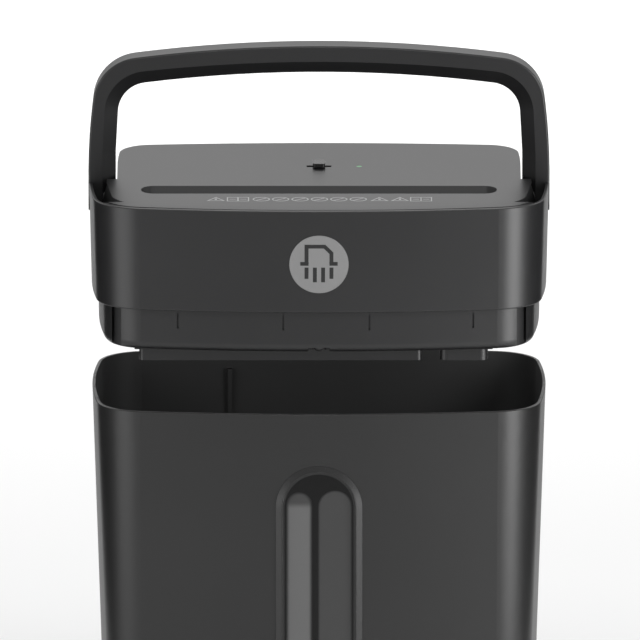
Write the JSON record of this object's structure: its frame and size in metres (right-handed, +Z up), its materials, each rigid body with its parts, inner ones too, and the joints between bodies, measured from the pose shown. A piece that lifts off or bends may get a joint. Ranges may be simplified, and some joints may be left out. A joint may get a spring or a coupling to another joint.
{
  "type": "paper shredder",
  "caption": "Upright basket-type paper shredder: lift-off cutting head with a folding carry handle over a tall waste bin with a window.",
  "frame": {"origin": "centre of the whole box's underside, on the bin's foot plane", "axes": "+Z up, -Y towards the front with the window, +X to the right seen from the front"},
  "size_m": [0.298, 0.1924, 0.5248],
  "materials": {
    "bin_plastic": "near-black satin moulded plastic",
    "head_plastic": "near-black satin moulded plastic",
    "casing_plastic": "black fine-textured plastic",
    "handle_plastic": "near-black satin moulded plastic",
    "bezel_plastic": "polished black plastic",
    "smoked_pane": "smoked clear acrylic",
    "emblem_metal": "brushed satin metal foil",
    "tool_steel": "ground and oiled steel",
    "plated_steel": "zinc-plated sheet steel",
    "gear_nylon": "natural nylon",
    "bronze_bush": "sintered bronze",
    "motor_steel": "drawn steel can",
    "black_nylon": "black nylon",
    "board_green": "solder mask on laminate",
    "part_plastic": "moulded component bodies",
    "light_lens": "frosted light pipe",
    "soft_rubber": "moulded rubber"
  },
  "bodies": {
    "bin": {"bin_shell": "bin_plastic", "window_bezel": "bezel_plastic", "window_pane": "smoked_pane"},
    "head": {"head_shell": "head_plastic", "deck_cover": "head_plastic", "lower_casing": "casing_plastic", "exit_skirt": "casing_plastic", "front_emblem": "emblem_metal", "cord_gland": "soft_rubber", "left_side_plate": "plated_steel", "gear_plate": "plated_steel", "tie_rods": "plated_steel", "front_stripper_comb": "black_nylon", "rear_stripper_comb": "black_nylon", "cutter_bushes": "bronze_bush", "gear_axles": "plated_steel", "motor_can": "motor_steel", "motor_end_bell": "black_nylon", "motor_cradle": "black_nylon", "thermal_cutout": "part_plastic", "control_board": "board_green", "board_parts": "part_plastic", "paper_sensor": "black_nylon", "interlock_switch": "black_nylon", "plunger_spring": "plated_steel", "switch_body": "black_nylon", "status_light": "light_lens", "housing_screws": "plated_steel"},
    "handle": {"carry_handle": "handle_plastic", "handle_pins": "plated_steel"},
    "front_cutter": {"front_cutter_shaft": "tool_steel", "front_cutter_discs": "tool_steel", "front_sync_gear": "tool_steel"},
    "rear_cutter": {"rear_cutter_shaft": "tool_steel", "rear_cutter_discs": "tool_steel", "rear_sync_gear": "tool_steel", "final_gear": "tool_steel"},
    "gear_one": {"first_reduction_gear": "gear_nylon"},
    "gear_two": {"second_reduction_gear": "gear_nylon"},
    "rotor": {"motor_rotor": "tool_steel", "motor_pinion": "bronze_bush", "cooling_fan": "black_nylon"},
    "plunger": {"interlock_plunger": "black_nylon"},
    "slider": {"mode_slider": "bezel_plastic"}
  },
  "joints": [
    {"name": "head_lift", "type": "slide", "parent": "bin", "child": "head", "axis": [0, 0, 1], "range_m": [-0.0672, 0.12]},
    {"name": "handle_fold", "type": "hinge", "parent": "head", "child": "handle", "pos_m": [0, -0.003, 0.4236], "axis": [-1, 0, 0], "range_deg": [0, 90]},
    {"name": "rear_cutter_spin", "type": "hinge", "parent": "head", "child": "rear_cutter", "pos_m": [0, -0.035, 0.385], "axis": [1, 0, 0], "continuous": true},
    {"name": "front_cutter_spin", "type": "hinge", "parent": "head", "child": "front_cutter", "pos_m": [0, -0.063, 0.385], "axis": [1, 0, 0], "continuous": true},
    {"name": "gear_two_spin", "type": "hinge", "parent": "head", "child": "gear_two", "pos_m": [0, -0.00751, 0.37121], "axis": [1, 0, 0], "continuous": true},
    {"name": "gear_one_spin", "type": "hinge", "parent": "head", "child": "gear_one", "pos_m": [0, 0.018, 0.385], "axis": [1, 0, 0], "continuous": true},
    {"name": "motor_spin", "type": "hinge", "parent": "head", "child": "rotor", "pos_m": [0, 0.048, 0.385], "axis": [1, 0, 0], "continuous": true},
    {"name": "plunger_press", "type": "slide", "parent": "head", "child": "plunger", "axis": [0, 0, 1], "range_m": [0, 0.003], "stiffness_N_per_m": 150, "springref_m": -0.004, "deforming": ["plunger_spring"]},
    {"name": "mode_slide", "type": "slide", "parent": "head", "child": "slider", "axis": [1, 0, 0], "range_m": [-0.005, 0.005]}
  ],
  "couplings": [
    {"joint": "front_cutter_spin", "follows": "rear_cutter_spin", "ratio": -1},
    {"joint": "gear_two_spin", "follows": "rear_cutter_spin", "ratio": -3.1},
    {"joint": "gear_one_spin", "follows": "rear_cutter_spin", "ratio": 9.7429},
    {"joint": "motor_spin", "follows": "rear_cutter_spin", "ratio": -38.971}
  ]
}
